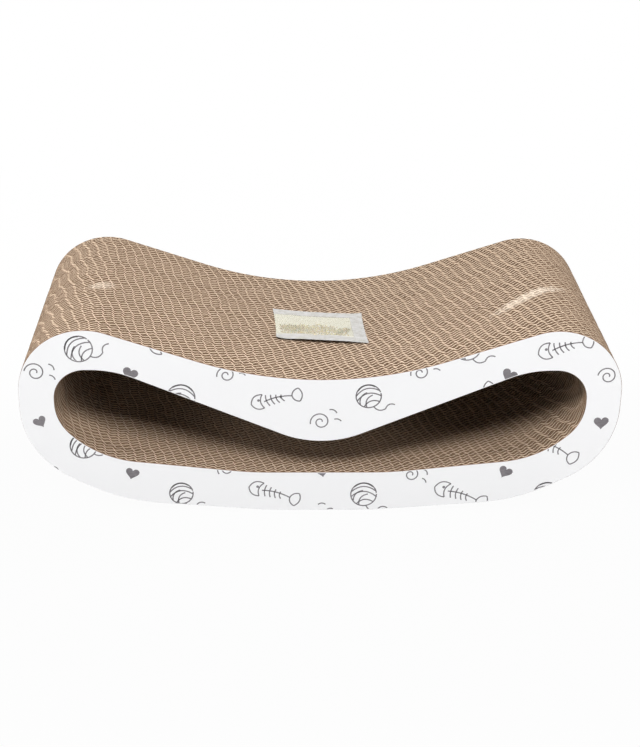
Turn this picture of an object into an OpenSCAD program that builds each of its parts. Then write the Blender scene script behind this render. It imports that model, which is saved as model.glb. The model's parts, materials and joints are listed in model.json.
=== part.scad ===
// Closed-loop cardboard scratching lounge for a cat: a pack of die-cut corrugated boards glued
// face to face, a card facing on each end of the pack, and a loose sachet of catnip.
// +X runs along the lounge, +Y from the front facing to the back one, +Z up from the floor.
// The origin is under the middle of the lounge, on the floor.

/* [Overall size] */
// Length of the lounge from end to end
lounge_len = 470; // [440:1:500]
// Height of the two humps above the floor
hump_h = 156.5; // [150:0.5:165]
// Height of the lowest point of the saddle between them
saddle_h = 115.5; // [110:0.5:119]

/* [Corrugated board] */
// Number of boards glued together
board_count = 54; // [40:1:54]
// Thickness of one board
board_t = 3.95; // [3:0.05:5]
// Thickness of the flat liner that closes each board's flutes
liner_t = 0.5; // [0.3:0.05:0.8]
// Distance from one flute to the next
flute_pitch = 7.9; // [6:0.1:10]

/* [Outer shape] */
// Distance from the middle to where the line of a ramp comes down to the height of the saddle
saddle_run = 50.6; // [40:0.2:60]
// Radius of the humps
hump_r = 52; // [46:1:56]
// Straight height of each end between the hump and the lower corner
end_run = 13; // [6:1:20]
// Radius of the lower corners under the humps
side_r = 70; // [55:1:74]
// Slope of the flank below each lower corner, in degrees
flank_angle = 28; // [25:0.5:30]
// Radius where the flank turns into the underside
flank_r = 150; // [110:5:160]
// Slope of the underside between flank and foot, in degrees
rise_angle = 4.3; // [3:0.1:5]
// Distance between the two lines where the foot starts to turn up
foot_len = 80; // [60:1:100]
// Radius where the foot turns up into the underside
foot_r = 300; // [100:10:400]

/* [Tunnel] */
// Wall left at each end of the tunnel
end_wall = 27.5; // [25:0.5:32]
// Thickness of the humps over the tunnel
hump_wall = 33.5; // [31:0.5:37]
// Thickness of the saddle over the tunnel
saddle_wall = 53.5; // [50:0.5:56]
// Thickness of the tunnel floor
floor_wall = 34.5; // [32:0.5:37]
// Radius of the roof under the saddle
belly_r = 81; // [65:1:95]
// Radius of the roof where it levels off under the humps
roof_r = 85; // [60:1:90]
// Distance from the middle of each hump to the line where the level roof turns down
roof_run = 21; // [16:0.5:26]
// Radius of the tunnel's upper corners
tunnel_top_r = 25; // [18:0.5:26]
// Straight height of the tunnel's ends between the upper and the lower corner
tunnel_run = 2.8; // [1:0.1:6]
// Radius of the tunnel's lower corners
tunnel_low_r = 38; // [28:1:42]
// Slope of the floor beside the lower corners, in degrees
bank_angle = 43; // [41:0.5:45]
// Radius at the foot of the bank
bank_r = 85; // [70:1:90]
// Slope of the floor between its flat middle and the bank, in degrees
floor_angle = 6; // [5:0.5:7]
// Distance between the two lines where the flat middle of the floor starts to turn up
floor_len = 110; // [90:1:130]
// Radius where the flat middle turns up
floor_r = 280; // [150:10:320]

/* [Facing panels] */
// Thickness of the card on the front and the back
facing_t = 0.5; // [0.3:0.05:0.8]
// How far the card stays inside the boards' edge
facing_setback = 0.4; // [0.2:0.1:1]

/* [Catnip sachet] */
// Length of the sachet along the lounge
sachet_len = 76; // [60:1:90]
// Width of the sachet across the lounge
sachet_width = 64; // [50:1:75]
// Width of the sealed strips on its two long edges and its right end
seal_w = 9; // [6:0.5:12]
// Width of the folded edge at its left end
fold_w = 2.5; // [2:0.5:4]
// Height of the catnip in the middle of the sachet
catnip_h = 3.6; // [2:0.2:5]
// Thickness of the film
film_t = 0.3; // [0.2:0.05:0.5]
// How far the sachet lies from the middle of the lounge, along it
sachet_x = 1; // [-20:1:20]
// How far the sachet lies from the middle of the lounge, across it
sachet_y = -5; // [-15:1:15]
// How far the sachet's long edges are turned on the saddle, in degrees
sachet_turn = -8; // [-15:1:15]
// How far its short edges lean from straight across the lounge, in degrees
sachet_lean = 2.4; // [-10:0.2:10]
// How far the middle of the stiff film stays above the hollow of the saddle
sachet_rise = 1.8; // [0:0.2:2.2]

/* [Hidden] */
BOARD_NAMES = [for (i = [1:board_count]) str("board_", i < 10 ? "0" : "", i)];

kraft = [0.74, 0.61, 0.49];
half_len = lounge_len / 2;
stack_depth = board_count * board_t;
overrun = 5;

// Points and directions in a drawing plane.
function slope(a) = [cos(a), sin(a)];
function cross2(a, b) = a[0] * b[1] - a[1] * b[0];
function unit(v) = v / norm(v);
function left_of(v) = [-v[1], v[0]];
function flip(p) = [-p[0], p[1]];
function meet(p, a, q, b) = p + slope(a) * cross2(q - p, slope(b)) / cross2(slope(a), slope(b));

// Lengths are rounded to the grid where an arc has to end exactly where a straight edge begins.
grid_share = 0.001;
function grid(x) = is_list(x) ? [for (v = x) grid(v)] : round(x / grid_share) * grid_share;

// An outline is a list of corners, each a point and the radius of its arc, anticlockwise.
// The arc takes up a reach of both edges that meet there, which grows with how far they turn.
function at(corners, i) = corners[(i + len(corners)) % len(corners)];
function turn(corners, i) = let (u = at(corners, i)[0] - at(corners, i - 1)[0],
  v = at(corners, i + 1)[0] - at(corners, i)[0]) atan2(cross2(u, v), u * v);
function reach(corners, i) = at(corners, i)[1] * tan(abs(turn(corners, i)) / 2);

// Where two arcs need more of an edge than it has, both radii are reduced to fit.
fit_share = 0.99;
function room(corners, i) = fit_share * norm(at(corners, i + 1)[0] - at(corners, i)[0])
  / (reach(corners, i) + reach(corners, i + 1));
function fitted(corners) = [for (i = [0:len(corners) - 1])
  [corners[i][0], corners[i][1] * min(1, room(corners, i - 1), room(corners, i))]];
function before(corners, i) = grid(at(corners, i)[0]
  + unit(at(corners, i - 1)[0] - at(corners, i)[0]) * reach(corners, i));
function after(corners, i) = grid(at(corners, i)[0]
  + unit(at(corners, i + 1)[0] - at(corners, i)[0]) * reach(corners, i));

// The cap between an arc and its chord, on a circle through both ends of the chord. The circle is
// moved to the grid point nearest its middle first, and by what is left after that.
module arc_cap(corners, i) {
  r = grid(at(corners, i)[1]);
  p = before(corners, i);
  q = after(corners, i);
  chord = norm(q - p);
  toward = unit(left_of(q - p)) * (turn(corners, i) > 0 ? -1 : 1);
  centre = (p + q) / 2 - toward * sqrt(r * r - chord * chord / 4);
  intersection() {
    translate(grid(centre)) translate(centre - grid(centre)) circle(r, $fn = 180);
    polygon([p, q, grid(q + toward * r), grid(p + toward * r)]);
  }
}

module rounded(sharp) {
  corners = fitted(sharp);
  last = len(corners) - 1;
  difference() {
    union() {
      polygon([for (i = [0:last]) each [before(corners, i), after(corners, i)]]);
      for (i = [0:last]) if (turn(corners, i) > 0) arc_cap(corners, i);
    }
    for (i = [0:last]) if (turn(corners, i) < 0) arc_cap(corners, i);
  }
}

// Moves every edge of an outline inwards, which changes its radii by the same amount.
function inset(corners, by) = [for (i = [0:len(corners) - 1])
  let (a = left_of(unit(at(corners, i)[0] - at(corners, i - 1)[0])),
    b = left_of(unit(at(corners, i + 1)[0] - at(corners, i)[0])))
  [corners[i][0] + (a + b) * by / (1 + a * b), corners[i][1] - sign(turn(corners, i)) * by]];

// The left-hand corners mirror the right-hand ones, with one more corner in the middle between.
function both_sides(right, middle) = concat(right, [middle],
  [for (i = [len(right) - 1:-1:0]) [flip(right[i][0]), right[i][1]]]);

// Outer outline, from the foot round the end to the hump and down the ramp to the saddle. The ramp
// is the line from the saddle's run that touches the hump, and the saddle's arc touches the ramps.
hump_centre = [half_len - hump_r, hump_h - hump_r];
run_point = [saddle_run, saddle_h];
from_hump = hump_centre - run_point;
ramp_angle = atan2(from_hump[1], from_hump[0]) + asin(hump_r / norm(from_hump));
saddle_point = meet(run_point, ramp_angle, [0, 0], 90);
saddle_r = saddle_run / tan(ramp_angle / 2);
hump_point = meet(run_point, ramp_angle, [half_len, 0], 90);
side_point = [half_len, hump_centre[1] - end_run - side_r * tan((90 - flank_angle) / 2)];
foot_point = [foot_len / 2, 0];
flank_point = meet(foot_point, rise_angle, side_point, flank_angle);
outer_corners = both_sides([[foot_point, foot_r], [flank_point, flank_r], [side_point, side_r],
  [hump_point, hump_r]], [saddle_point, saddle_r]);

// Tunnel, from the flat floor round the end to the roof and down to the belly of the saddle.
// The roof runs straight from its level stretch to where it touches the belly's arc.
tunnel_end = half_len - end_wall;
roof_h = hump_h - hump_wall;
belly_h = saddle_h - saddle_wall;
level_point = [floor_len / 2, floor_wall];
low_h = roof_h - tunnel_top_r - tunnel_run - tunnel_low_r * tan((90 - bank_angle) / 2);
low_point = [tunnel_end, low_h];
bank_point = meet(level_point, floor_angle, low_point, bank_angle);
top_point = [tunnel_end, roof_h];
roof_point = [hump_centre[0] - roof_run, roof_h];
from_belly = roof_point - [0, belly_h + belly_r];
roof_angle = atan2(from_belly[1], from_belly[0]) + asin(belly_r / norm(from_belly));
belly_point = meet(roof_point, roof_angle, [0, 0], 90);
tunnel_corners = both_sides([[level_point, floor_r], [bank_point, bank_r], [low_point, tunnel_low_r],
  [top_point, tunnel_top_r], [roof_point, roof_r]], [belly_point, belly_r]);

module loop_outline(setback = 0) difference() {
  rounded(inset(outer_corners, setback));
  rounded(inset(tunnel_corners, -setback));
}

// Stands an outline drawn in x and z up as a plate from y = 0 to y = t.
module upright(t) translate([0, t, 0]) rotate([90, 0, 0]) linear_extrude(t) children();

// Each board's flutes start a little to the left of those of the board in front of it, and wander.
drift_share = -0.11;
wander_share = 0.09;
wander_turn = 137.5;
function flute_shift(k) = flute_pitch * (drift_share * k + wander_share * sin(wander_turn * k));

// A board seen from above: a flat liner, with the ridges of the fluted sheet behind it.
flute_count = 2 * ceil(half_len / flute_pitch) + 4;
module fluted_strip(shift) {
  start = -flute_count / 2 * flute_pitch + shift % flute_pitch;
  finish = start + flute_count * flute_pitch;
  polygon(concat([[finish, liner_t], [finish, 0], [start, 0]],
    [for (i = [0:flute_count - 1]) each
      [[start + i * flute_pitch, liner_t], [start + (i + 1 / 2) * flute_pitch, board_t]]]));
}

// Flutes run through from top to bottom at the ends, and through the saddle and the ramps above
// the tunnel. The floor of the tunnel is drawn without them.
split_h = (belly_h + floor_wall) / 2;
closed_half = tunnel_end - end_wall;
module board_blank(shift) {
  translate([0, 0, split_h]) linear_extrude(hump_h) fluted_strip(shift);
  translate([0, 0, -overrun]) linear_extrude(split_h + overrun) union() {
    difference() {
      fluted_strip(shift);
      translate([-closed_half, -overrun]) square([2 * closed_half, board_t + 2 * overrun]);
    }
    translate([-closed_half, 0]) square([2 * closed_half, board_t]);
  }
}

module board(k) color(kraft) translate([0, (k - 1) * board_t - stack_depth / 2, 0]) intersection() {
  translate([0, -overrun, 0]) upright(board_t + 2 * overrun) loop_outline();
  board_blank(flute_shift(k));
}

module facing() upright(facing_t) loop_outline(facing_setback);
module front_panel() color("white") translate([0, -stack_depth / 2 - facing_t, 0]) facing();
module back_panel() color("white") translate([0, stack_depth / 2, 0]) facing();

// The sachet lies on the saddle and bends with it. Its pouch and its filling are slabs over a
// grid of places, u along the sachet and v across it, both measured from its middle.
sachet_gap = 0.3;
fill_gap = 0.1;
cells_along = 10;
cells_across = 7;
function steps(low, high, n) = [for (i = [0:n]) low + (high - low) * i / n];
cavity_u = steps(-sachet_len / 2 + fold_w, sachet_len / 2 - seal_w, cells_along);
cavity_v = steps(-sachet_width / 2 + seal_w, sachet_width / 2 - seal_w, cells_across);
pouch_u = concat([-sachet_len / 2], cavity_u, [sachet_len / 2]);
pouch_v = concat([-sachet_width / 2], cavity_v, [sachet_width / 2]);
function end_of(list) = list[len(list) - 1];
function shrunk(list, by) = [for (x = list) x == list[0] ? x + by : x == end_of(list) ? x - by : x];
function arch(x, list) = let (s = (x - list[0]) / (end_of(list) - list[0]))
  s <= 0 || s >= 1 ? 0 : sqrt(sin(180 * s));
function crown(u, v) = catnip_h * arch(u, cavity_u) * arch(v, cavity_v);
function place(u, v) = [sachet_x + u * cos(sachet_turn) - v * sin(sachet_lean),
  sachet_y + u * sin(sachet_turn) + v * cos(sachet_lean)];
function saddle_z(x) = saddle_h + saddle_r - sqrt(saddle_r * saddle_r - x * x);
function bed_z(u, v) = saddle_z(place(u, v)[0]) + sachet_rise * (1 - pow(2 * u / sachet_len, 2));

// The underside follows the bed at the height low. The top is at the height high round its rim,
// and higher by the crown of the filling further in. The whole rim can be moved in by a clearance.
module slab(us, vs, low, high, rim_gap = 0) {
  nu = len(us);
  nv = len(vs);
  in_us = shrunk(us, rim_gap);
  in_vs = shrunk(vs, rim_gap);
  function id(i, j, side) = side * nu * nv + j * nu + i;
  points = [for (side = [0, 1]) for (j = [0:nv - 1]) for (i = [0:nu - 1])
    concat(place(in_us[i], in_vs[j]),
      [bed_z(us[i], vs[j]) + (side == 0 ? low : high + crown(us[i], vs[j]))])];
  rim = concat([for (i = [0:nu - 2]) [i, 0]], [for (j = [0:nv - 2]) [nu - 1, j]],
    [for (i = [nu - 1:-1:1]) [i, nv - 1]], [for (j = [nv - 1:-1:1]) [0, j]]);
  faces = concat(
    [for (j = [0:nv - 2]) for (i = [0:nu - 2]) each [
      [id(i, j, 0), id(i + 1, j, 0), id(i + 1, j + 1, 0)],
      [id(i, j, 0), id(i + 1, j + 1, 0), id(i, j + 1, 0)],
      [id(i, j, 1), id(i + 1, j + 1, 1), id(i + 1, j, 1)],
      [id(i, j, 1), id(i, j + 1, 1), id(i + 1, j + 1, 1)]]],
    [for (r = [0:len(rim) - 1]) let (a = rim[r], b = rim[(r + 1) % len(rim)]) each [
      [id(a[0], a[1], 0), id(a[0], a[1], 1), id(b[0], b[1], 1)],
      [id(a[0], a[1], 0), id(b[0], b[1], 1), id(b[0], b[1], 0)]]]);
  polyhedron(points, faces);
}

module sachet_film() color([0.9, 0.9, 0.86, 0.5]) difference() {
  slab(pouch_u, pouch_v, sachet_gap, sachet_gap + 3 * film_t);
  slab(cavity_u, cavity_v, sachet_gap + film_t, sachet_gap + 2 * film_t);
}
module catnip() color([0.62, 0.64, 0.42]) slab(cavity_u, cavity_v,
  sachet_gap + film_t + fill_gap, sachet_gap + 2 * film_t - fill_gap, rim_gap = 2 * fill_gap);

for (k = [1:board_count]) board(k);
front_panel();
back_panel();
sachet_film();
catnip();
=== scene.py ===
import json
import math
import random

import bmesh
import bpy
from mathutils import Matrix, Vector, noise
from mathutils.geometry import tessellate_polygon

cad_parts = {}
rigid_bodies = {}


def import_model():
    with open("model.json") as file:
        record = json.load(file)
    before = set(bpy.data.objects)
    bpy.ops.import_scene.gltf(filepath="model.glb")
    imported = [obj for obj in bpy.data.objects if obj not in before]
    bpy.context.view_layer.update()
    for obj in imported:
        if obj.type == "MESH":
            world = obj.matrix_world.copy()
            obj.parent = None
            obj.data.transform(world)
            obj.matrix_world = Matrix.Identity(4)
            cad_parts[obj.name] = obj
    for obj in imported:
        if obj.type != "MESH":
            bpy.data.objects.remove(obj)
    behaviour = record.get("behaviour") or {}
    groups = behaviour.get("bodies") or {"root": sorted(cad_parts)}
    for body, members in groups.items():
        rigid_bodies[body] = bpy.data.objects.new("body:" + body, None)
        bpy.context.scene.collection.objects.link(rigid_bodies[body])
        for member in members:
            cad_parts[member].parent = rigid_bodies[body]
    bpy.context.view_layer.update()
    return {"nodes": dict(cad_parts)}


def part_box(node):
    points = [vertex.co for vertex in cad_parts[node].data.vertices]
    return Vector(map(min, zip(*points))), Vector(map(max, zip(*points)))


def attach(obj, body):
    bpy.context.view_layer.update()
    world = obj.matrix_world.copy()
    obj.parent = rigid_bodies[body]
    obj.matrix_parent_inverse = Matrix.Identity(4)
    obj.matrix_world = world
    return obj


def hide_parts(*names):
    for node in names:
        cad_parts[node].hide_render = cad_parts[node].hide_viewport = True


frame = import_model()
print("frame loaded with", len(frame["nodes"]), "nodes")

mm = 0.001

# The die-cut loop seen from the front, in millimetres and degrees, as the boards are cut.
loop = {
    "humpRadius": 52, "saddleRun": 50.6, "saddleHeight": 115.5,
    "endRun": 13, "sideRadius": 70, "flankSlope": 28, "flankRadius": 150,
    "riseSlope": 4.3, "footLength": 80, "footRadius": 300,
    "endWall": 27.5, "humpWall": 33.5, "saddleWall": 53.5, "floorWall": 34.5,
    "bellyRadius": 81, "roofRadius": 85, "roofRun": 21, "tunnelTopRadius": 25, "tunnelRun": 2.8,
    "tunnelLowRadius": 38, "bankSlope": 43, "bankRadius": 85,
    "floorSlope": 6, "floorLength": 110, "floorRadius": 280,
    "arcStep": 2.4,  # length of one straight piece of an arc
}


def heading(degrees):
    return Vector((math.cos(math.radians(degrees)), math.sin(math.radians(degrees))))


def meeting(p, pSlope, q, qSlope):
    u, v = heading(pSlope), heading(qSlope)
    return p + u * ((q - p).cross(v) / u.cross(v))


# Slope in degrees of the line from a point that touches a circle, passing over or under it.
def touching(point, centre, radius, side):
    away = centre - point
    return math.degrees(math.atan2(away.y, away.x) + side * math.asin(radius / away.length))


def bothSides(right, middle):
    return right + [middle] + [(Vector((-p.x, p.y)), r) for p, r in reversed(right)]


def outerCorners():
    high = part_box("board_01")[1]
    halfLength, humpHeight = high[0] / mm, high[2] / mm
    centre = Vector((halfLength - loop["humpRadius"], humpHeight - loop["humpRadius"]))
    run = Vector((loop["saddleRun"], loop["saddleHeight"]))
    slope = touching(run, centre, loop["humpRadius"], 1)
    saddle = meeting(run, slope, Vector((0, 0)), 90)
    saddleRadius = loop["saddleRun"] / math.tan(math.radians(slope) / 2)
    hump = meeting(run, slope, Vector((halfLength, 0)), 90)
    drop = loop["endRun"] + loop["sideRadius"] * math.tan(math.radians((90 - loop["flankSlope"]) / 2))
    side = Vector((halfLength, centre.y - drop))
    foot = Vector((loop["footLength"] / 2, 0))
    flank = meeting(foot, loop["riseSlope"], side, loop["flankSlope"])
    right = [(foot, loop["footRadius"]), (flank, loop["flankRadius"]),
             (side, loop["sideRadius"]), (hump, loop["humpRadius"])]
    return bothSides(right, (saddle, saddleRadius)), centre, saddleRadius


def tunnelCorners(humpCentre):
    end = humpCentre.x + loop["humpRadius"] - loop["endWall"]
    roofHeight = humpCentre.y + loop["humpRadius"] - loop["humpWall"]
    level = Vector((loop["floorLength"] / 2, loop["floorWall"]))
    drop = loop["tunnelTopRadius"] + loop["tunnelRun"]
    drop += loop["tunnelLowRadius"] * math.tan(math.radians((90 - loop["bankSlope"]) / 2))
    low = Vector((end, roofHeight - drop))
    bank = meeting(level, loop["floorSlope"], low, loop["bankSlope"])
    roof = Vector((humpCentre.x - loop["roofRun"], roofHeight))
    belly = Vector((0, loop["saddleHeight"] - loop["saddleWall"] + loop["bellyRadius"]))
    roofSlope = touching(roof, belly, loop["bellyRadius"], 1) + 180
    bellyCorner = meeting(roof, roofSlope, Vector((0, 0)), 90)
    right = [(level, loop["floorRadius"]), (bank, loop["bankRadius"]), (low, loop["tunnelLowRadius"]),
             (Vector((end, roofHeight)), loop["tunnelTopRadius"]), (roof, loop["roofRadius"])]
    return bothSides(right, (bellyCorner, loop["bellyRadius"]))


# Points round an outline of (corner, radius) pairs, all moved inwards by inset.
def roundedLine(corners, inset):
    count = len(corners)
    moved = []
    for i, (p, r) in enumerate(corners):
        u = (p - corners[i - 1][0]).normalized()
        v = (corners[(i + 1) % count][0] - p).normalized()
        a, b = Vector((-u.y, u.x)), Vector((-v.y, v.x))
        bend = math.atan2(u.cross(v), u.dot(v))
        moved.append((p + (a + b) * inset / (1 + a.dot(b)), r - math.copysign(inset, bend), bend))
    reach = [r * math.tan(abs(bend) / 2) for p, r, bend in moved]
    room = []
    for i in range(count):
        j = (i + 1) % count
        room.append(0.99 * (moved[i][0] - moved[j][0]).length / (reach[i] + reach[j]))
    points = []
    for i, (p, r, bend) in enumerate(moved):
        share = min(1, room[i - 1], room[i])
        back = (moved[i - 1][0] - p).normalized()
        start = p + back * reach[i] * share
        centre = start + Vector((back.y, -back.x)) * math.copysign(r * share, bend)
        first = start - centre
        steps = max(3, math.ceil(abs(bend) * r * share / loop["arcStep"]))
        for j in range(steps + 1):
            c, s = math.cos(bend * j / steps), math.sin(bend * j / steps)
            points.append(centre + Vector((first.x * c - first.y * s, first.x * s + first.y * c)))
    return points


outerLine, humpCentre, saddleRadius = outerCorners()
tunnelLine = tunnelCorners(humpCentre)


# A closed plate in the shape of the loop, from y = front to y = back, in metres.
def loopPlate(name, front, back, inset=0.0):
    rings = [roundedLine(outerLine, inset), roundedLine(tunnelLine, -inset)]
    flat = [p * mm for ring in rings for p in ring]
    count = len(flat)
    faces = []
    for a, b, c in tessellate_polygon([[p.to_3d() for p in ring] for ring in rings]):
        faces += [(a, b, c), (c + count, b + count, a + count)]
    first = 0
    for ring in rings:
        last = first + len(ring) - 1
        for i in range(first, last + 1):
            j = first if i == last else i + 1
            faces.append((i, i + count, j + count, j))
        first = last + 1
    mesh = bpy.data.meshes.new(name)
    mesh.from_pydata([(p.x, y, p.y) for y in (front, back) for p in flat], [], faces)
    turnOutwards(mesh)
    return mesh


def turnOutwards(mesh):
    bm = bmesh.new()
    bm.from_mesh(mesh)
    bmesh.ops.recalc_face_normals(bm, faces=bm.faces)
    bm.to_mesh(mesh)
    bm.free()


def addPiece(name, mesh, material=None):
    piece = bpy.data.objects.new(name, mesh)
    bpy.context.scene.collection.objects.link(piece)
    if material:
        mesh.materials.append(material)
    return piece


def softenShading(mesh, degrees):
    mesh.shade_smooth()
    mesh.set_sharp_from_angle(angle=math.radians(degrees))


# Geometry node trees are put together with these.
def newTree(name, inputs):
    tree = bpy.data.node_groups.new(name, "GeometryNodeTree")
    tree.interface.new_socket("Geometry", in_out="INPUT", socket_type="NodeSocketGeometry")
    for label, kind in inputs.items():
        tree.interface.new_socket(label, in_out="INPUT", socket_type="NodeSocket" + kind)
    tree.interface.new_socket("Geometry", in_out="OUTPUT", socket_type="NodeSocketGeometry")
    return tree, tree.nodes.new("NodeGroupInput").outputs


def addNode(tree, kind, inputs=None, **settings):
    node = tree.nodes.new(kind)
    for key, value in settings.items():
        setattr(node, key, value)
    for key, value in (inputs or {}).items():
        if isinstance(value, bpy.types.NodeSocket):
            tree.links.new(value, node.inputs[key])
        else:
            node.inputs[key].default_value = value
    return node


def calc(tree, operation, *values):
    return addNode(tree, "ShaderNodeMath", dict(enumerate(values)), operation=operation).outputs[0]


def plus(tree, a, b):
    return calc(tree, "ADD", a, b)


def minus(tree, a, b):
    return calc(tree, "SUBTRACT", a, b)


def times(tree, a, b):
    return calc(tree, "MULTIPLY", a, b)


def vector(tree, x=0.0, y=0.0, z=0.0):
    return addNode(tree, "ShaderNodeCombineXYZ", {"X": x, "Y": y, "Z": z}).outputs[0]


def moved(tree, geometry, place):
    return addNode(tree, "GeometryNodeTransform", {"Geometry": geometry, "Translation": place}).outputs[0]


def joined(tree, *parts):
    node = tree.nodes.new("GeometryNodeJoinGeometry")
    for part in parts:
        tree.links.new(part, node.inputs[0])
    return node.outputs[0]


# What two closed solids share.
def shared(tree, solid, cutter):
    node = tree.nodes.new("GeometryNodeMeshBoolean")
    node.operation = "INTERSECT"
    node.solver = "MANIFOLD"
    for part in (solid, cutter):
        tree.links.new(part, node.inputs["Mesh 2"])
    return node.outputs[0]


def randomValue(tree, low, high, seed):
    return addNode(tree, "FunctionNodeRandomValue", {2: low, 3: high, "Seed": seed}).outputs[1]


def isNone(tree, value):
    same = addNode(tree, "FunctionNodeCompare", {2: value, 3: 0}, data_type="INT", operation="EQUAL")
    return same.outputs[0]


def endTree(tree, geometry, material):
    real = addNode(tree, "GeometryNodeRealizeInstances", {"Geometry": geometry})
    done = addNode(tree, "GeometryNodeSetMaterial", {"Geometry": real.outputs[0], "Material": material})
    tree.links.new(done.outputs[0], tree.nodes.new("NodeGroupOutput").inputs[0])


def plainMesh(piece):
    graph = bpy.context.evaluated_depsgraph_get()
    mesh = bpy.data.meshes.new_from_object(piece.evaluated_get(graph), depsgraph=graph)
    piece.modifiers.clear()
    piece.data = mesh
    mesh.name = piece.name


# Runs a tree on a piece and leaves the result as its plain mesh.
def bakeTree(piece, tree, values):
    modifier = piece.modifiers.new(tree.name, "NODES")
    modifier.node_group = tree
    for item in tree.interface.items_tree:
        if item.item_type == "SOCKET" and item.in_out == "INPUT" and item.name in values:
            modifier[item.identifier] = values[item.name]
    plainMesh(piece)


boards = {
    "pitch": 7.9 * mm,
    "paper": 0.92 * mm,
    "liner": 0.16 * mm,
    "lean": (0.15, 0.4),  # how far the flutes of a board lean to the right, as a share of their height
    "stepsPerFlute": 12,
    "driftShare": -0.12,  # of the pitch, from one board to the next
    "swingShare": 0.11,
    "swingBoards": 11,
    "scatterShare": 0.05,
    "wander": 0.5,  # how far a flute strays, in radians of its wave
    "wanderScale": 40.0,  # how quickly that changes along a board
    "wanderStep": 7.3,  # and from one board to the next
    "shiftLimit": 0.12 * mm,  # how far a board is glued out of line
    "overrun": 1 * mm,
}


# One board: a fluted sheet between two liners, all cut to the loop.
def flutedBoardTree():
    tree, given = newTree("fluted board", {
        "Front": "Float", "Thickness": "Float", "Pitch": "Float", "Start": "Float", "Paper": "Float",
        "Liner": "Float", "Length": "Float", "Height": "Float", "Steps": "Int", "Lean": "Float",
        "Wander": "Float", "Seed": "Float", "Shift": "Vector", "Material": "Material"})
    scale, step = boards["wanderScale"], boards["wanderStep"]
    at = addNode(tree, "GeometryNodeInputPosition").outputs[0]
    along, out = addNode(tree, "ShaderNodeSeparateXYZ", {0: at}).outputs[:2]
    flutes = calc(tree, "DIVIDE", minus(tree, along, given["Start"]), given["Pitch"])
    where = plus(tree, times(tree, along, scale), times(tree, given["Seed"], step))
    stray = addNode(tree, "ShaderNodeTexNoise", {"W": where, "Scale": 1.0, "Detail": 1.0},
                    noise_dimensions="1D").outputs[0]
    stray = times(tree, minus(tree, stray, 0.5), times(tree, given["Wander"], 4.0))
    half = times(tree, given["Thickness"], 0.5)
    rise = minus(tree, half, plus(tree, given["Liner"], times(tree, given["Paper"], 0.5)))
    turn = plus(tree, times(tree, flutes, 2 * math.pi), stray)
    wave = times(tree, calc(tree, "SINE", turn), rise)
    # the sheet's direction along its wave gives it the same thickness on the steep sides
    steepness = calc(tree, "DIVIDE", times(tree, rise, 2 * math.pi), given["Pitch"])
    slope = times(tree, calc(tree, "COSINE", turn), steepness)
    ahead = plus(tree, times(tree, slope, given["Lean"]), 1.0)
    across = addNode(tree, "ShaderNodeVectorMath", {0: vector(tree, times(tree, slope, -1.0), ahead)},
                     operation="NORMALIZE").outputs[0]
    across = addNode(tree, "ShaderNodeVectorMath", {0: across, "Scale": out}, operation="SCALE").outputs[0]

    up = times(tree, given["Height"], 0.5)
    sheetSize = vector(tree, given["Length"], given["Paper"], given["Height"])
    sheet = addNode(tree, "GeometryNodeMeshCube", {"Size": sheetSize, "Vertices X": given["Steps"]})
    middle = vector(tree, times(tree, wave, given["Lean"]), minus(tree, plus(tree, wave, half), out), up)
    sway = addNode(tree, "ShaderNodeVectorMath", {0: middle, 1: across}).outputs[0]
    sheet = addNode(tree, "GeometryNodeSetPosition", {"Geometry": sheet.outputs[0], "Offset": sway})
    linerSize = vector(tree, given["Length"], given["Liner"], given["Height"])
    inset = times(tree, given["Liner"], 0.5)
    liners = []
    for y in (inset, minus(tree, given["Thickness"], inset)):
        flat = addNode(tree, "GeometryNodeMeshCube", {"Size": linerSize}).outputs[0]
        liners.append(moved(tree, flat, vector(tree, 0.0, y, up)))

    cutter = moved(tree, given["Geometry"], given["Shift"])
    cut = [shared(tree, part, cutter) for part in (sheet.outputs[0], joined(tree, *liners))]
    placed = moved(tree, joined(tree, *cut), vector(tree, 0.0, given["Front"], 0.0))
    endTree(tree, placed, given["Material"])
    return tree


def makeBoards(material):
    names = sorted(n for n in frame["nodes"] if n.startswith("board_"))
    low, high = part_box(names[0])
    thickness = high[1] - low[1]
    reach = 2 * high[0] + 4 * boards["pitch"]
    limit = boards["shiftLimit"]
    tree = flutedBoardTree()
    plate = loopPlate("board cutter", -boards["overrun"], thickness + boards["overrun"], limit / mm)
    draw = random.Random(11)
    for k, node in enumerate(names):
        swing = boards["swingShare"] * math.sin(2 * math.pi * k / boards["swingBoards"])
        scatter = draw.uniform(-1, 1) * boards["scatterShare"]
        piece = addPiece("fluted_" + node, plate.copy())
        bakeTree(piece, tree, {
            "Front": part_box(node)[0][1], "Thickness": thickness, "Pitch": boards["pitch"],
            "Start": (boards["driftShare"] * k + swing + scatter) * boards["pitch"],
            "Paper": boards["paper"], "Liner": boards["liner"],
            "Length": reach, "Height": high[2] + boards["overrun"],
            "Steps": round(reach / boards["pitch"] * boards["stepsPerFlute"]) + 1,
            "Lean": draw.uniform(*boards["lean"]), "Wander": boards["wander"], "Seed": float(k),
            "Shift": (draw.uniform(-limit, limit), 0.0, draw.uniform(-limit, limit)),
            "Material": material})
        softenShading(piece.data, 50)
        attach(piece, "root")
        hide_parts(node)
    bpy.data.meshes.remove(plate)
    print("boards made:", len(names), "with", len(piece.data.polygons), "faces in the last")


# Colours are picked as 0 to 255 screen values.
def screenColour(r, g, b):
    shares = [c / 255 for c in (r, g, b)]
    return (*[c / 12.92 if c < 0.04045 else ((c + 0.055) / 1.055) ** 2.4 for c in shares], 1.0)


def newMaterial(name, **settings):
    material = bpy.data.materials.new(name)
    material.use_nodes = True
    tree = material.node_tree
    shader = tree.nodes["Principled BSDF"]
    for key, value in settings.items():
        shader.inputs[key].default_value = value
    return material, tree, shader


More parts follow.
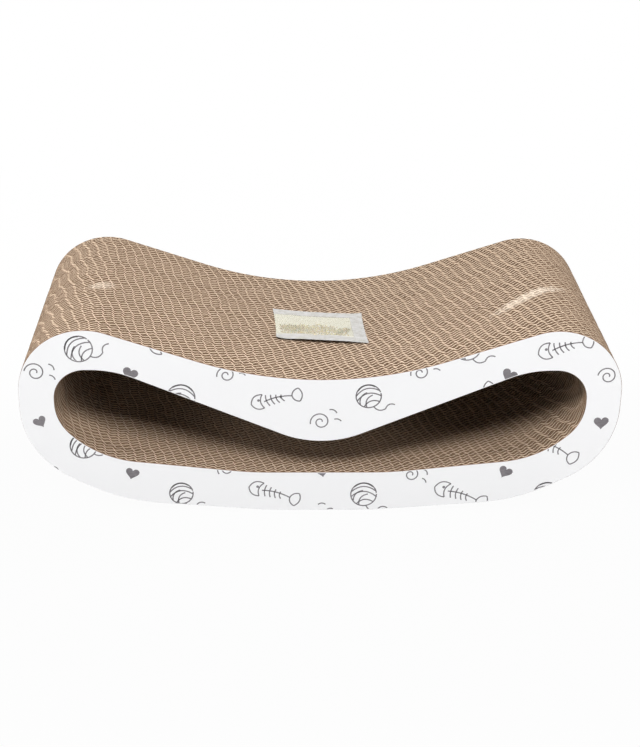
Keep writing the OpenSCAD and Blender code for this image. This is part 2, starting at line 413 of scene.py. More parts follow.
def mixColour(tree, share, a, b):
    return addNode(tree, "ShaderNodeMix", {0: share, 6: a, 7: b}, data_type="RGBA").outputs[2]


def remap(tree, value, low, high, outLow=0.0, outHigh=1.0):
    return addNode(tree, "ShaderNodeMapRange", {0: value, 1: low, 2: high, 3: outLow, 4: outHigh}).outputs[0]


def noiseAt(tree, place, scale, detail=2.0, roughness=0.5):
    return addNode(tree, "ShaderNodeTexNoise", {"Vector": place, "Scale": scale, "Detail": detail,
                                                "Roughness": roughness}).outputs[0]


def paperFibres(tree, group, place, fibreScale, fleckAmount):
    fibres = addNode(tree, "ShaderNodeGroup", node_tree=group)
    fibres.inputs["Fibre scale"].default_value = fibreScale
    fibres.inputs["Fleck amount"].default_value = fleckAmount
    tree.links.new(place, fibres.inputs["Place"])
    return fibres.outputs


def bumped(tree, shader, height, strength, distance):
    bump = addNode(tree, "ShaderNodeBump", {"Height": height, "Strength": strength, "Distance": distance})
    tree.links.new(bump.outputs[0], shader.inputs["Normal"])


# Fibres and flecks of recycled paper, for every paper in the lounge.
def paperFibreGroup():
    tree = bpy.data.node_groups.new("paper fibres", "ShaderNodeTree")
    for label, kind in (("Place", "Vector"), ("Fibre scale", "Float"), ("Fleck amount", "Float")):
        tree.interface.new_socket(label, in_out="INPUT", socket_type="NodeSocket" + kind)
    for label in ("Tone", "Height"):
        tree.interface.new_socket(label, in_out="OUTPUT", socket_type="NodeSocketFloat")
    given = tree.nodes.new("NodeGroupInput").outputs
    done = tree.nodes.new("NodeGroupOutput").inputs
    drawn = addNode(tree, "ShaderNodeMapping", {"Vector": given["Place"], "Scale": (0.35, 1.0, 1.0)})
    fibres = noiseAt(tree, drawn.outputs[0], given["Fibre scale"], 3.0, 0.6)
    blotches = noiseAt(tree, given["Place"], times(tree, given["Fibre scale"], 0.06), 2.0)
    cells = addNode(tree, "ShaderNodeTexVoronoi", {"Vector": given["Place"],
                                                   "Scale": times(tree, given["Fibre scale"], 0.5)})
    flecks = times(tree, remap(tree, cells.outputs["Distance"], 0.22, 0.08), given["Fleck amount"])
    tone = plus(tree, times(tree, fibres, 0.6), times(tree, blotches, 0.4))
    tree.links.new(minus(tree, tone, times(tree, flecks, 0.35)), done["Tone"])
    tree.links.new(fibres, done["Height"])
    return tree


kraft = {
    "liner": {"face": (132, 106, 84), "cut": (194, 170, 145)},  # torn fibres make a cut edge paler; both face colours are darkened as painted shade of the flute hollows
    "fluting": {"face": (134, 108, 86), "cut": (212, 189, 165)},
    "pale": (246, 231, 213),  # where claws and hands have rubbed it
    "linerShare": 0.05,  # of a board's thickness, on either side of the flutes
    "layerSpread": 0.08,
    "fibreSpread": 0.2,
    "streak": {"middle": (0.1695, -0.0275, 0.154), "turn": 30.6, "half": (0.034, 0.0065, 0.03),
               "strength": 0.7},
    "patch": {"middle": (-0.1775, -0.0105, 0.15), "turn": 40.0, "half": (0.012, 0.007, 0.03),
              "strength": 0.4},
}


# Its full strength in the middle of a worn place and 0 outside it, frayed by the fibres.
def wornPlace(tree, place, fray, spot):
    local = addNode(tree, "ShaderNodeMapping", {
        "Vector": place, "Location": spot["middle"], "Scale": spot["half"],
        "Rotation": (0.0, 0.0, math.radians(spot["turn"]))}, vector_type="TEXTURE").outputs[0]
    away = addNode(tree, "ShaderNodeVectorMath", {0: local}, operation="LENGTH").outputs["Value"]
    return times(tree, remap(tree, plus(tree, away, fray), 1.2, 0.55), spot["strength"])


def kraftMaterial(fibreGroup):
    material, tree, shader = newMaterial("kraft corrugated board", Roughness=0.9)
    shader.inputs["Specular IOR Level"].default_value = 0.2
    coords = tree.nodes.new("ShaderNodeTexCoord").outputs
    place = coords["Object"]
    low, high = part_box("board_01")
    depth = addNode(tree, "ShaderNodeSeparateXYZ", {0: place}).outputs["Y"]
    layer = calc(tree, "DIVIDE", minus(tree, depth, low[1]), high[1] - low[1])
    inLayer = calc(tree, "PINGPONG", layer, 0.5)
    isFluting = remap(tree, inLayer, kraft["linerShare"] - 0.02, kraft["linerShare"])
    lot = addNode(tree, "ShaderNodeTexWhiteNoise", {"W": calc(tree, "FLOOR", layer)},
                  noise_dimensions="1D").outputs["Value"]
    fibres = paperFibres(tree, fibreGroup, place, 1200.0, 0.5)
    across = addNode(tree, "ShaderNodeSeparateXYZ", {0: coords["Normal"]}).outputs["Y"]
    # faces inside the flutes take the dark face colour as painted shade of the hollows, and cut edges take
    # the paler cut colour
    isCut = remap(tree, calc(tree, "ABSOLUTE", across), 0.3, 0.1)
    liner, fluting = [mixColour(tree, isCut, *[screenColour(*kraft[sheet][side]) for side in ("face", "cut")])
                      for sheet in ("liner", "fluting")]
    colour = mixColour(tree, isFluting, liner, fluting)
    tone = times(tree, minus(tree, fibres["Tone"], 0.45), 2 * kraft["fibreSpread"])
    tone = plus(tree, tone, times(tree, minus(tree, lot, 0.5), 2 * kraft["layerSpread"]))
    colour = mixColour(tree, plus(tree, tone, 1.0), (0.0, 0.0, 0.0, 1.0), colour)
    fray = times(tree, minus(tree, noiseAt(tree, place, 420.0, 3.0), 0.5), 1.8)
    worn = calc(tree, "MAXIMUM", *[wornPlace(tree, place, fray, kraft[spot]) for spot in ("streak", "patch")])
    colour = mixColour(tree, worn, colour, screenColour(*kraft["pale"]))
    tree.links.new(colour, shader.inputs["Base Color"])
    bumped(tree, shader, fibres["Height"], 0.4, 0.06 * mm)
    return material


card = {
    "white": (250, 250, 251),
    "core": (168, 140, 132),  # the cut edge shows the grey-brown board under the print
    "bevel": 0.22 * mm,
    "inkProud": 0.04 * mm,
}


def cardMaterial(fibreGroup):
    material, tree, shader = newMaterial("coated white card", Roughness=0.5)
    shader.inputs["Specular IOR Level"].default_value = 0.35
    coords = tree.nodes.new("ShaderNodeTexCoord").outputs
    outwards = addNode(tree, "ShaderNodeSeparateXYZ", {0: coords["Normal"]}).outputs["Y"]
    fibres = paperFibres(tree, fibreGroup, coords["Object"], 700.0, 0.0)
    dim = screenColour(*[c - 3 for c in card["white"]])
    white = mixColour(tree, fibres["Tone"], dim, screenColour(*card["white"]))
    isFace = remap(tree, calc(tree, "ABSOLUTE", outwards), 0.55, 0.9)
    tree.links.new(mixColour(tree, isFace, screenColour(*card["core"]), white), shader.inputs["Base Color"])
    tree.links.new(remap(tree, fibres["Tone"], 0.3, 0.7, 0.42, 0.56), shader.inputs["Roughness"])
    bumped(tree, shader, fibres["Height"], 0.15, 0.02 * mm)
    return material


# A card facing with a softened cut edge. Its printed side lies just inside the outermost plane.
def makeFacing(name, node, outside, material):
    low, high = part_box(node)
    front, back = low[1], high[1]
    if outside < 0:
        front += card["inkProud"]
    else:
        back -= card["inkProud"]
    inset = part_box("board_01")[1][0] - high[0]
    mesh = loopPlate(name, front, back, inset / mm)
    bm = bmesh.new()
    bm.from_mesh(mesh)
    rim = [e for e in bm.edges if e.calc_face_angle(0) > 1.2]
    bmesh.ops.bevel(bm, geom=rim, offset=card["bevel"], segments=3, profile=0.5, affect="EDGES",
                    clamp_overlap=True)
    bm.to_mesh(mesh)
    bm.free()
    softenShading(mesh, 35)
    piece = addPiece(name, mesh, material)
    # the large flat faces keep their own direction beside the rim
    piece.modifiers.new("flat faces", "WEIGHTED_NORMAL").keep_sharp = True
    plainMesh(piece)
    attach(piece, "root")
    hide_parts(node)


# The print: small pet motifs in loose pen strokes, on a half-drop grid.
printed = {
    "ink": (104, 100, 103),
    "fade": 34,  # how much paler the ink is where the card took less of it
    "stroke": 0.98,
    "depth": 0.12,
    "column": 37.0,
    "row": 43.0,
    "jitter": 2.6,
    "tilt": 34.0,  # degrees either way
    "grow": 0.09,
    "edge": 0.5,  # clear of the card's rim
}


def inkMaterial(fibreGroup):
    material, tree, shader = newMaterial("grey printing ink", Roughness=0.5)
    place = tree.nodes.new("ShaderNodeTexCoord").outputs["Object"]
    fibres = paperFibres(tree, fibreGroup, place, 900.0, 0.2)
    faded = screenColour(*[c + printed["fade"] for c in printed["ink"]])
    colour = mixColour(tree, remap(tree, fibres["Tone"], 0.35, 0.7), screenColour(*printed["ink"]), faded)
    tree.links.new(colour, shader.inputs["Base Color"])
    tree.links.new(remap(tree, fibres["Height"], 0.3, 0.7, 0.4, 0.6), shader.inputs["Roughness"])
    return material


def arcLine(centre, radius, first, last, steps=14, squeeze=1.0):
    turns = [math.radians(first + (last - first) * i / steps) for i in range(steps + 1)]
    return [(centre[0] + radius * math.cos(a), centre[1] + radius * squeeze * math.sin(a)) for a in turns]


def bend(p, q, sag, steps=8):
    across = Vector((p[1] - q[1], q[0] - p[0])).normalized() * sag
    line = []
    for i in range(steps + 1):
        t = i / steps
        line.append((p[0] + (q[0] - p[0]) * t + across.x * 4 * t * (1 - t),
                     p[1] + (q[1] - p[1]) * t + across.y * 4 * t * (1 - t)))
    return line


# Strokes and solid patches of each motif, in millimetres round its middle.
def fishBone():
    spine = bend((-9, -0.6), (15, 0.4), 1.6)
    ribs = [bend((x - 1.2, size), (x + 0.8, -size), -1.1)
            for x, size in ((-5.5, 5.2), (-1.2, 4.6), (3.1, 3.9), (7.4, 3.1))]
    head = bend((-9.4, 6.2), (-20, -1.2), -3.2) + bend((-20, -1.2), (-9.6, -6.4), -2.6)[1:]
    cheek = bend((-9.4, 6.2), (-9.6, -6.4), -2.4)
    tail = bend((15, 0.4), (21.5, 6.4), 1.6), bend((15, 0.4), (20.8, -5.8), -1.6)
    fin = bend((21.5, 6.4), (20.8, -5.8), 2.6)
    return [spine, head, cheek, fin, *tail, *ribs], [arcLine((-13.4, 1.4), 1.15, 0, 340, 11)]


def yarnBall():
    rim = arcLine((0, 0), 10, 20, 375, 30)
    threads = [bend((-8.6, 4.6), (5.2, 8.2), 3.2), bend((-9.8, 0.2), (8.4, 5.0), 4.2),
               bend((-9.0, -4.0), (9.8, 0.4), 4.4), bend((-3.4, -9.2), (8.6, -4.6), 2.8),
               bend((-6.6, -7.2), (-1.2, 3.2), 2.4), bend((-1.4, -9.6), (3.2, 1.0), 2.6)]
    loose = bend((4.2, -9.2), (13.5, -11.2), -2.2, 7) + bend((13.5, -11.2), (21.0, -7.6), 2.2, 7)[1:]
    return [rim, loose, *threads], []


def heart():
    line = []
    for i in range(26):
        a = 2 * math.pi * i / 26
        line.append((0.36 * 16 * math.sin(a) ** 3, 0.36 * (
            13 * math.cos(a) - 5 * math.cos(2 * a) - 2 * math.cos(3 * a) - math.cos(4 * a))))
    return [], [line]


def swirl():
    turns = [i / 48 for i in range(49)]
    return [[((1.2 + 6.4 * t) * math.cos(9.6 * t), (1.2 + 6.4 * t) * math.sin(9.6 * t)) for t in turns],
            bend((7.2, 9.4), (12.4, 6.2), 1.2, 5), bend((10.2, 1.4), (15.2, -0.6), 0.9, 5)], []


# Strokes become chains of edges and patches closed prisms, for the tree to tell apart.
def motifMesh(name, strokes, patches):
    half = printed["depth"] / 2
    points, edges, faces = [], [], []
    for line in strokes:
        edges += [(len(points) + i, len(points) + i + 1) for i in range(len(line) - 1)]
        points += [(x, y, 0.0) for x, y in line]
    for line in patches:
        first, count = len(points), len(line)
        points += [(x, y, z) for z in (-half, half) for x, y in line]
        for a, b, c in tessellate_polygon([[Vector((x, y, 0)) for x, y in line]]):
            low = (first + a, first + b, first + c)
            faces += [low, [i + count for i in reversed(low)]]
        for i in range(first, first + count):
            j = first if i == first + count - 1 else i + 1
            faces.append((i, i + count, j + count, j))
    mesh = bpy.data.meshes.new(name)
    mesh.from_pydata([Vector(p) * mm for p in points], edges, faces)
    turnOutwards(mesh)
    return mesh


def printTree():
    tree, given = newTree("printed pattern", {
        "Motifs": "Collection", "Columns": "Int", "Rows": "Int", "Column": "Float", "Row": "Float",
        "Jitter": "Float", "Tilt": "Float", "Grow": "Float", "Stroke": "Float", "Depth": "Float",
        "Middle": "Vector", "Seed": "Int", "Material": "Material"})
    width = times(tree, minus(tree, given["Columns"], 1.0), given["Column"])
    height = times(tree, minus(tree, given["Rows"], 1.0), given["Row"])
    grid = addNode(tree, "GeometryNodeMeshGrid", {
        "Size X": width, "Size Y": height, "Vertices X": given["Columns"], "Vertices Y": given["Rows"]})
    index = addNode(tree, "GeometryNodeInputIndex").outputs[0]
    column = calc(tree, "FLOOR", calc(tree, "DIVIDE", index, given["Rows"]))
    row = calc(tree, "MODULO", index, given["Rows"])
    odd = calc(tree, "MODULO", column, 2.0)
    low, high = times(tree, given["Jitter"], -1.0), given["Jitter"]
    shift = vector(tree, randomValue(tree, low, high, given["Seed"]),
                   plus(tree, times(tree, times(tree, odd, given["Row"]), 0.5),
                        randomValue(tree, low, high, plus(tree, given["Seed"], 1.0))))
    points = addNode(tree, "GeometryNodeSetPosition", {"Geometry": grid.outputs[0], "Offset": shift})
    motifs = addNode(tree, "GeometryNodeCollectionInfo", {
        "Collection": given["Motifs"], "Separate Children": True, "Reset Children": True}).outputs[0]
    # large motifs in the even columns, small ones in the odd
    pick = plus(tree, times(tree, odd, 2.0), calc(tree, "MODULO", plus(tree, row, calc(
        tree, "FLOOR", times(tree, column, 0.5))), 2.0))
    turn = randomValue(tree, times(tree, given["Tilt"], -1.0), given["Tilt"], plus(tree, given["Seed"], 2.0))
    size = randomValue(tree, minus(tree, 1.0, given["Grow"]), plus(tree, 1.0, given["Grow"]),
                       plus(tree, given["Seed"], 3.0))
    placed = addNode(tree, "GeometryNodeInstanceOnPoints", {
        "Points": points.outputs[0], "Instance": motifs, "Pick Instance": True, "Instance Index": pick,
        "Rotation": vector(tree, 0.0, 0.0, turn), "Scale": vector(tree, size, size, 1.0)})
    drawn = addNode(tree, "GeometryNodeRealizeInstances", {"Geometry": placed.outputs[0]}).outputs[0]

    faces = addNode(tree, "GeometryNodeInputMeshEdgeNeighbors").outputs["Face Count"]
    lines = addNode(tree, "GeometryNodeMeshToCurve", {"Mesh": drawn, "Selection": isNone(tree, faces)})
    upright = addNode(tree, "GeometryNodeSetCurveNormal", {"Curve": lines.outputs[0]}, mode="Z_UP")
    part = addNode(tree, "GeometryNodeSplineParameter").outputs["Factor"]
    swell = calc(tree, "POWER", calc(tree, "SINE", times(tree, part, math.pi)), 0.45)
    pen = addNode(tree, "GeometryNodeSetCurveRadius", {
        "Curve": upright.outputs[0], "Radius": plus(tree, times(tree, swell, 0.62), 0.4)})
    nib = addNode(tree, "GeometryNodeCurvePrimitiveQuadrilateral", {"Width": given["Stroke"],
                                                                    "Height": given["Depth"]})
    strokes = addNode(tree, "GeometryNodeCurveToMesh", {
        "Curve": pen.outputs[0], "Profile Curve": nib.outputs[0], "Fill Caps": True}).outputs[0]
    faces = addNode(tree, "GeometryNodeInputMeshVertexNeighbors").outputs["Face Count"]
    patches = addNode(tree, "GeometryNodeDeleteGeometry", {
        "Geometry": drawn, "Selection": isNone(tree, faces)}, domain="POINT").outputs[0]
    stood = addNode(tree, "GeometryNodeTransform", {
        "Geometry": joined(tree, strokes, patches), "Rotation": (math.radians(90), 0.0, 0.0)}).outputs[0]
    endTree(tree, shared(tree, moved(tree, stood, given["Middle"]), given["Geometry"]), given["Material"])
    return tree


def makePrints(material):
    tree = printTree()
    motifs = bpy.data.collections.new("motifs")
    for name, (strokes, patches) in (("a fish bone", fishBone()), ("b yarn ball", yarnBall()),
                                     ("c heart", heart()), ("d swirl", swirl())):
        motifs.objects.link(bpy.data.objects.new(name, motifMesh(name, strokes, patches)))
    for side, node, seed in (("front", "front_panel", 4), ("back", "back_panel", 23)):
        low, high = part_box(node)
        face = low[1] + card["inkProud"] if side == "front" else high[1] - card["inkProud"]
        inset = (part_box("board_01")[1][0] - high[0]) / mm + printed["edge"]
        spare = card["inkProud"]
        piece = addPiece(side + "_print", loopPlate(side + "_print", face - spare, face + spare, inset))
        size = [high[0] - low[0], high[2] - low[2]]
        bakeTree(piece, tree, {
            "Motifs": motifs, "Columns": math.ceil(size[0] / (printed["column"] * mm)) + 2,
            "Rows": math.ceil(size[1] / (printed["row"] * mm)) + 2,
            "Column": printed["column"] * mm, "Row": printed["row"] * mm, "Jitter": printed["jitter"] * mm,
            "Tilt": math.radians(printed["tilt"]), "Grow": printed["grow"],
            "Stroke": printed["stroke"] * mm, "Depth": printed["depth"] * mm,
            "Middle": (0.0, face, size[1] / 2), "Seed": seed, "Material": material})
        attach(piece, "root")
        print(piece.name, "faces", len(piece.data.polygons))
    for motif in list(motifs.objects):
        bpy.data.objects.remove(motif)
    bpy.data.collections.remove(motifs)


# The catnip sachet, in millimetres and degrees, u along it and v across it from its middle.
sachet = {
    "length": 76, "width": 64, "seal": 10, "fold": 2.5,
    "middle": (1, -5), "turn": -8, "lean": 2.4,
    "clearance": 0.35,
    "riseBack": 1.7, "riseFront": 2.6,  # how far its middle bridges the saddle
    "film": 0.12,
    "crown": 2.9, "crownLean": 0.35,
    "pullEnds": 0.8, "pullSides": 1.3,  # how far its sides draw in half-way along
    "curls": (((-38, -32), 10, 1.7), ((38, 32), 8, 0.8)),  # corner, reach and lift of each curled corner
    "crimpPitch": 1.5, "crimpHeight": 0.07,
    "sealCell": 0.38, "cell": 1.15,
    "wrinkle": 0.5,
    "sealWave": 0.3,
    "gap": 0.15,  # between the two films along the seals
    "clear": (213, 211, 198), "sealed": (196, 194, 194), "backing": (204, 201, 184),
    "frontAlphas": (0.2, 0.75), "backAlphas": (1.0, 1.0),  # clear and sealed
    "fill": 0.35,
}


def sachetPlace(u, v):
    halfLength, halfWidth = sachet["length"] / 2, sachet["width"] / 2
    along = u * (1 - sachet["pullEnds"] / halfLength * (1 - (v / halfWidth) ** 2))
    across = v * (1 - sachet["pullSides"] / halfWidth * (1 - (u / halfLength) ** 2))
    turn, lean = math.radians(sachet["turn"]), math.radians(sachet["lean"])
    return (sachet["middle"][0] + along * math.cos(turn) - across * math.sin(lean),
            sachet["middle"][1] + along * math.sin(turn) + across * math.cos(lean))


def cavity():
    halfLength, halfWidth = sachet["length"] / 2, sachet["width"] / 2
    return (sachet["fold"] - halfLength, halfLength - sachet["seal"]), (sachet["seal"] - halfWidth,
                                                                       halfWidth - sachet["seal"])


def acrossCavity(u, v):
    (u0, u1), (v0, v1) = cavity()
    return (2 * u - u0 - u1) / (u1 - u0), (2 * v - v0 - v1) / (v1 - v0)


# Height of the lower film: it rests on the saddle at its two ends and bridges the hollow between.
def bedHeight(u, v):
    x = sachetPlace(u, v)[0]
    saddle = loop["saddleHeight"] + saddleRadius - math.sqrt(saddleRadius ** 2 - x * x)
    forward = 0.5 - v / sachet["width"]
    rise = sachet["riseBack"] + (sachet["riseFront"] - sachet["riseBack"]) * forward
    bridged = rise * (1 - (2 * u / sachet["length"]) ** 2)
    wave = sachet["sealWave"] * noise.noise(Vector((u / 11, v / 15, 3.7))) * min(1, bridged)
    curled = sum(lift * max(0, 1 - math.hypot(u - corner[0], v - corner[1]) / reach) ** 2
                 for corner, reach, lift in sachet["curls"])
    return saddle + sachet["clearance"] + bridged + wave + curled


# Height of the upper film above the lower one inside the pouch.
def crownHeight(u, v):
    su, sv = acrossCavity(u, v)
    if abs(su) >= 1 or abs(sv) >= 1:
        return 0.0
    dome = (1 - abs(su) ** 2.4) ** 0.6 * (1 - abs(sv) ** 2.2) ** 0.6 * (1 - sachet["crownLean"] * sv)
    long = noise.noise(Vector((u / 7, v / 17, 0.4)))
    short = noise.noise(Vector((u / 2.6, v / 9, 8.1))) * (0.35 + 0.65 * max(abs(su), abs(sv)) ** 3)
    return max(0.0, sachet["crown"] * dome + sachet["wrinkle"] * min(1, 2 * dome) * (long + 0.8 * short))


# Fine parallel ridges that the sealing jaws leave, along three of the sides.
def crimp(u, v):
    su, sv = acrossCavity(u, v)
    if abs(sv) >= 1 and su < 1:
        away = sachet["width"] / 2 - abs(v)
    elif su >= 1:
        away = sachet["length"] / 2 - u
    else:
        return 0.0
    return sachet["crimpHeight"] * math.sin(2 * math.pi * away / sachet["crimpPitch"])


def spread(first, last, cell):
    steps = max(1, math.ceil((last - first) / cell))
    return [first + (last - first) * i / steps for i in range(steps)]


def filmMesh(name, height):
    halfLength, halfWidth = sachet["length"] / 2, sachet["width"] / 2
    (u0, u1), (v0, v1) = cavity()
    fine, wide = sachet["sealCell"], sachet["cell"]
    us = spread(-halfLength, u0, fine) + spread(u0, u1, wide) + spread(u1, halfLength, fine)
    vs = spread(-halfWidth, v0, fine) + spread(v0, v1, wide) + spread(v1, halfWidth, fine)
    us.append(halfLength)
    vs.append(halfWidth)
    points = [(*sachetPlace(u, v), height(u, v)) for v in vs for u in us]
    n = len(us)
    faces = [(j * n + i, j * n + i + 1, j * n + n + i + 1, j * n + n + i)
             for j in range(len(vs) - 1) for i in range(n - 1)]
    mesh = bpy.data.meshes.new(name)
    mesh.from_pydata([Vector(p) * mm for p in points], [], faces)
    sealed = mesh.attributes.new("sealed", "FLOAT", "POINT")
    for i, v in enumerate(vs):
        for j, u in enumerate(us):
            su, sv = acrossCavity(u, v)
            sealed.data[i * n + j].value = 1.0 if max(su, abs(sv)) >= 1 else 0.0
    return mesh


def makeFilm(name, height, material):
    piece = addPiece(name, filmMesh(name, height), material)
    wall = piece.modifiers.new("film thickness", "SOLIDIFY")
    wall.thickness = sachet["film"] * mm
    wall.offset = 1.0
    plainMesh(piece)
    softenShading(piece.data, 60)
    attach(piece, "sachet")
    return piece


# Clear film that turns milky where it is sealed, with smudges in the milky part.
def filmMaterial(name, clear, alphas, fibreGroup):
    material, tree, shader = newMaterial(name, Roughness=0.3)
    place = tree.nodes.new("ShaderNodeTexCoord").outputs["Object"]
    seal = addNode(tree, "ShaderNodeAttribute", attribute_name="sealed").outputs["Fac"]
    fibres = paperFibres(tree, fibreGroup, place, 500.0, 0.0)
    smudged = remap(tree, noiseAt(tree, place, 170.0, 3.0), 0.35, 0.65, 0.5, 1.0)
    milky = plus(tree, times(tree, seal, smudged), times(tree, minus(tree, fibres["Tone"], 0.5), 0.12))
    colour = mixColour(tree, milky, screenColour(*clear), screenColour(*sachet["sealed"]))
    tree.links.new(colour, shader.inputs["Base Color"])
    tree.links.new(remap(tree, milky, 0.0, 1.0, *alphas), shader.inputs["Alpha"])
    tree.links.new(remap(tree, fibres["Tone"], 0.3, 0.7, 0.22, 0.4), shader.inputs["Roughness"])
    bumped(tree, shader, fibres["Height"], 0.1, 0.05 * mm)
    return material


herbs = {
    "count": 1900,
    "u": (-34.5, 27.0), "v": (-21.5, 3.0),
    "size": (0.5, 1.7),
    "heapSize": (9, 6), "heapLevel": 0.75,
    "thinBack": (-8, 7), "thinRight": (4, 26),  # where the heap starts to thin out, and over how far
    "warmReach": 14, "warm": 0.68, "green": 0.28, "shadeSpread": 0.24,
    "shades": ((122, 134, 80), (176, 188, 118), (214, 212, 152), (218, 192, 154), (190, 150, 112)),
}


# How likely a crumb is to lie at a place: the herb has slid into one long heap.
def heapHeight(u, v):
    long, wide = herbs["heapSize"]
    (back, backReach), (right, rightReach) = herbs["thinBack"], herbs["thinRight"]
    thinned = herbs["heapLevel"] - max(0, v - back) / backReach - max(0, u - right) / rightReach
    return noise.noise(Vector((u / long, v / wide, 1.3))) + thinned


# Crumbs of leaf, stalk and bud, each a small closed lump of a few faces.
def crumbMesh(name, size, sides, taper):
    bm = bmesh.new()
    bmesh.ops.create_cone(bm, cap_ends=True, cap_tris=False, segments=sides, radius1=0.5, radius2=0.5 * taper,
                          depth=1.0)
    bmesh.ops.scale(bm, vec=size, verts=bm.verts)
    mesh = bpy.data.meshes.new(name)
    bm.to_mesh(mesh)
    bm.free()
    return mesh


def herbTree():
    tree, given = newTree("catnip crumbs", {
        "Crumbs": "Collection", "Smallest": "Float", "Largest": "Float", "Seed": "Int",
        "Material": "Material"})
    crumbs = addNode(tree, "GeometryNodeCollectionInfo", {
        "Collection": given["Crumbs"], "Separate Children": True, "Reset Children": True}).outputs[0]
    full = 2 * math.pi
    tilt = randomValue(tree, -0.5, 0.5, plus(tree, given["Seed"], 1.0))
    roll = randomValue(tree, -0.5, 0.5, plus(tree, given["Seed"], 2.0))
    spin = randomValue(tree, 0.0, full, plus(tree, given["Seed"], 3.0))
    size = randomValue(tree, given["Smallest"], given["Largest"], plus(tree, given["Seed"], 4.0))
    placed = addNode(tree, "GeometryNodeInstanceOnPoints", {
        "Points": given["Geometry"], "Instance": crumbs, "Pick Instance": True,
        "Rotation": vector(tree, tilt, roll, spin), "Scale": vector(tree, size, size, size)}).outputs[0]
    endTree(tree, placed, given["Material"])
    return tree


def herbMaterial(fibreGroup):
    material, tree, shader = newMaterial("dried catnip", Roughness=0.85)
    place = tree.nodes.new("ShaderNodeTexCoord").outputs["Object"]
    shade = addNode(tree, "ShaderNodeAttribute", attribute_name="shade").outputs["Fac"]
    ramp = addNode(tree, "ShaderNodeValToRGB", {0: shade})
    stops = ramp.color_ramp.elements
    last = len(herbs["shades"]) - 1
    for i, rgb in enumerate(herbs["shades"]):
        stop = stops[0] if i == 0 else stops[1] if i == last else stops.new(i / last)
        stop.color = screenColour(*rgb)
    fibres = paperFibres(tree, fibreGroup, place, 2500.0, 0.3)
    dark = remap(tree, fibres["Tone"], 0.2, 0.7, 0.7, 1.0)
    colour = mixColour(tree, dark, (0.0, 0.0, 0.0, 1.0), ramp.outputs[0])
    tree.links.new(colour, shader.inputs["Base Color"])
    bumped(tree, shader, fibres["Height"], 0.5, 0.1 * mm)
    return material


def makeHerbs(material):
    draw = random.Random(5)
    points, shades = [], []
    while len(points) < herbs["count"]:
        u, v = draw.uniform(*herbs["u"]), draw.uniform(*herbs["v"])
        su, sv = acrossCavity(u, v)
        room = crownHeight(u, v) - 2 * sachet["film"]
        if room < 0.5 or max(abs(su), abs(sv)) > 0.97 or draw.random() > heapHeight(u, v):
            continue
        level = bedHeight(u, v) + sachet["film"] + 0.2 + math.sqrt(draw.random()) * (room - 0.4)
        points.append(Vector((*sachetPlace(u, v), level)) * mm)
        shade = herbs["warm"] if abs(u) < herbs["warmReach"] and draw.random() < 0.7 else herbs["green"]
        shades.append(min(1, max(0, shade + draw.gauss(0, herbs["shadeSpread"]))))
    mesh = bpy.data.meshes.new("catnip_crumbs")
    mesh.from_pydata(points, [], [])
    mesh.attributes.new("shade", "FLOAT", "POINT").data.foreach_set("value", shades)
    piece = addPiece("catnip_crumbs", mesh)
    crumbs = bpy.data.collections.new("crumbs")
    kinds = (("a leaf", (1.3, 0.9, 0.16), 6, 0.7), ("b stalk", (0.24, 0.24, 1.7), 5, 0.8),
             ("c bud", (0.6, 0.6, 0.5), 6, 0.5), ("d flake", (0.9, 1.1, 0.12), 5, 0.8))
    for name, size, sides, taper in kinds:
        crumb = bpy.data.objects.new(name, crumbMesh(name, Vector(size) * mm, sides, taper))
        crumbs.objects.link(crumb)
    bakeTree(piece, herbTree(), {"Crumbs": crumbs, "Smallest": herbs["size"][0], "Largest": herbs["size"][1],
                                 "Seed": 40, "Material": material})
    for crumb in list(crumbs.objects):
        bpy.data.objects.remove(crumb)
    bpy.data.collections.remove(crumbs)
    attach(piece, "sachet")
    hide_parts("catnip")
    print("crumbs made:", len(points), "with", len(piece.data.polygons), "faces")


def makeSachet(fibreGroup):
    backing = filmMaterial("sachet backing film", sachet["backing"], sachet["backAlphas"], fibreGroup)
    clear = filmMaterial("sachet clear film", sachet["clear"], sachet["frontAlphas"], fibreGroup)
    makeFilm("sachet_back", lambda u, v: bedHeight(u, v) + crimp(u, v), backing)
    lift = sachet["gap"]
    front = makeFilm("sachet_front",
                     lambda u, v: bedHeight(u, v) + crimp(u, v) + lift + crownHeight(u, v), clear)
    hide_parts("sachet_film")
    makeHerbs(herbMaterial(fibreGroup))


# The photograph's viewpoint.
view = {
    "lens": 76.15,
    "location": (-0.0409, -1.2205, 0.6246),
    "turn": (65.66, -0.82, -1.65),  # degrees
}

studio = {
    "worldLevel": 0.02,
    "lamps": {
        "key": {"at": (-2.2, -0.3, 2.2), "size": 1.0, "power": 62.0},
        "front": {"at": (-0.3, -1.5, 2.0), "size": 0.8, "power": 48.0},
        "left side": {"at": (-1.5, -0.8, 0.35), "size": 0.5, "power": 5.0},
        "right side": {"at": (1.5, -0.8, 0.35), "size": 0.5, "power": 11.0},
        "rim": {"at": (0.9, 1.4, 2.7), "size": 1.3, "power": 46.0},
    },
    "floorGrey": {"front": (122, 122, 122), "back": (214, 214, 214)},  # throws light back onto the lounge
    "floorTurn": (0.0, 0.25),  # between these the front grey passes into the back one
    "floorShow": 0.97,  # how much of the floor's white is simply shown to the camera beside the lounge
    "floorFade": (0.35, 0.9),  # from here outwards all of it is
    "floorSize": 6.0,
}


def makeCamera():
    camera = bpy.data.objects.new("camera", bpy.data.cameras.new("camera"))
    camera.data.lens = view["lens"]
    camera.location = view["location"]
    camera.rotation_euler = [math.radians(a) for a in view["turn"]]
    bpy.context.scene.collection.objects.link(camera)
    bpy.context.scene.camera = camera


def whiteToRays(tree):
    seen = tree.nodes.new("ShaderNodeLightPath").outputs
    sharp = plus(tree, seen["Is Glossy Ray"], seen["Is Transmission Ray"])
    return calc(tree, "MINIMUM", plus(tree, seen["Is Camera Ray"], sharp), 1.0)


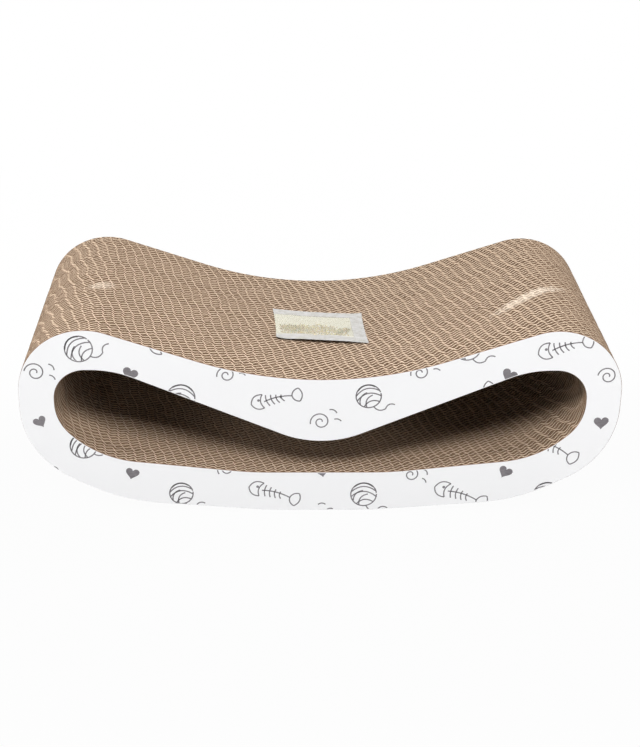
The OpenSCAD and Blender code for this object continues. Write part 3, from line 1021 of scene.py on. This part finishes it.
def makeStudio():
    world = bpy.data.worlds.new("studio")
    bpy.context.scene.world = world
    world.use_nodes = True
    tree = world.node_tree
    level = remap(tree, whiteToRays(tree), 0.0, 1.0, studio["worldLevel"], 1.0)
    tree.nodes["Background"].inputs["Color"].default_value = (1.0, 1.0, 1.0, 1.0)
    tree.links.new(level, tree.nodes["Background"].inputs["Strength"])
    for name, settings in studio["lamps"].items():
        lamp = bpy.data.lights.new(name, "AREA")
        lamp.size = settings["size"]
        lamp.energy = settings["power"]
        lampObject = bpy.data.objects.new(name, lamp)
        lampObject.location = settings["at"]
        lampObject.rotation_euler = (-Vector(settings["at"])).to_track_quat("-Z", "Y").to_euler()
        bpy.context.scene.collection.objects.link(lampObject)
    half = studio["floorSize"] / 2
    mesh = bpy.data.meshes.new("floor")
    corners = [(-half, -half, 0), (half, -half, 0), (half, half, 0), (-half, half, 0)]
    mesh.from_pydata(corners, [], [(0, 1, 2, 3)])
    material, tree, shader = newMaterial("floor", Roughness=0.9)
    place = tree.nodes.new("ShaderNodeTexCoord").outputs["Object"]
    depth = addNode(tree, "ShaderNodeSeparateXYZ", {0: place}).outputs["Y"]
    behind = remap(tree, depth, *studio["floorTurn"])
    grey = mixColour(tree, behind, *[screenColour(*studio["floorGrey"][side]) for side in ("front", "back")])
    tree.links.new(grey, shader.inputs["Base Color"])
    glow = addNode(tree, "ShaderNodeEmission", {"Color": (1.0, 1.0, 1.0, 1.0), "Strength": 1.0})
    away = addNode(tree, "ShaderNodeVectorMath", {0: place}, operation="LENGTH").outputs["Value"]
    shown = remap(tree, away, *studio["floorFade"], studio["floorShow"], 1.0)
    both = addNode(tree, "ShaderNodeMixShader", {0: times(tree, whiteToRays(tree), shown),
                                                 1: shader.outputs[0], 2: glow.outputs[0]})
    tree.links.new(both.outputs[0], tree.nodes["Material Output"].inputs["Surface"])
    addPiece("floor", mesh, material)
    bpy.context.scene.view_settings.view_transform = "Standard"


makeCamera()
makeStudio()
print("camera and studio set")

fibreGroup = paperFibreGroup()
makeBoards(kraftMaterial(fibreGroup))
whiteCard = cardMaterial(fibreGroup)
makeFacing("front_card", "front_panel", -1, whiteCard)
makeFacing("back_card", "back_panel", 1, whiteCard)
makePrints(inkMaterial(fibreGroup))
print("facings made and printed")
makeSachet(fibreGroup)
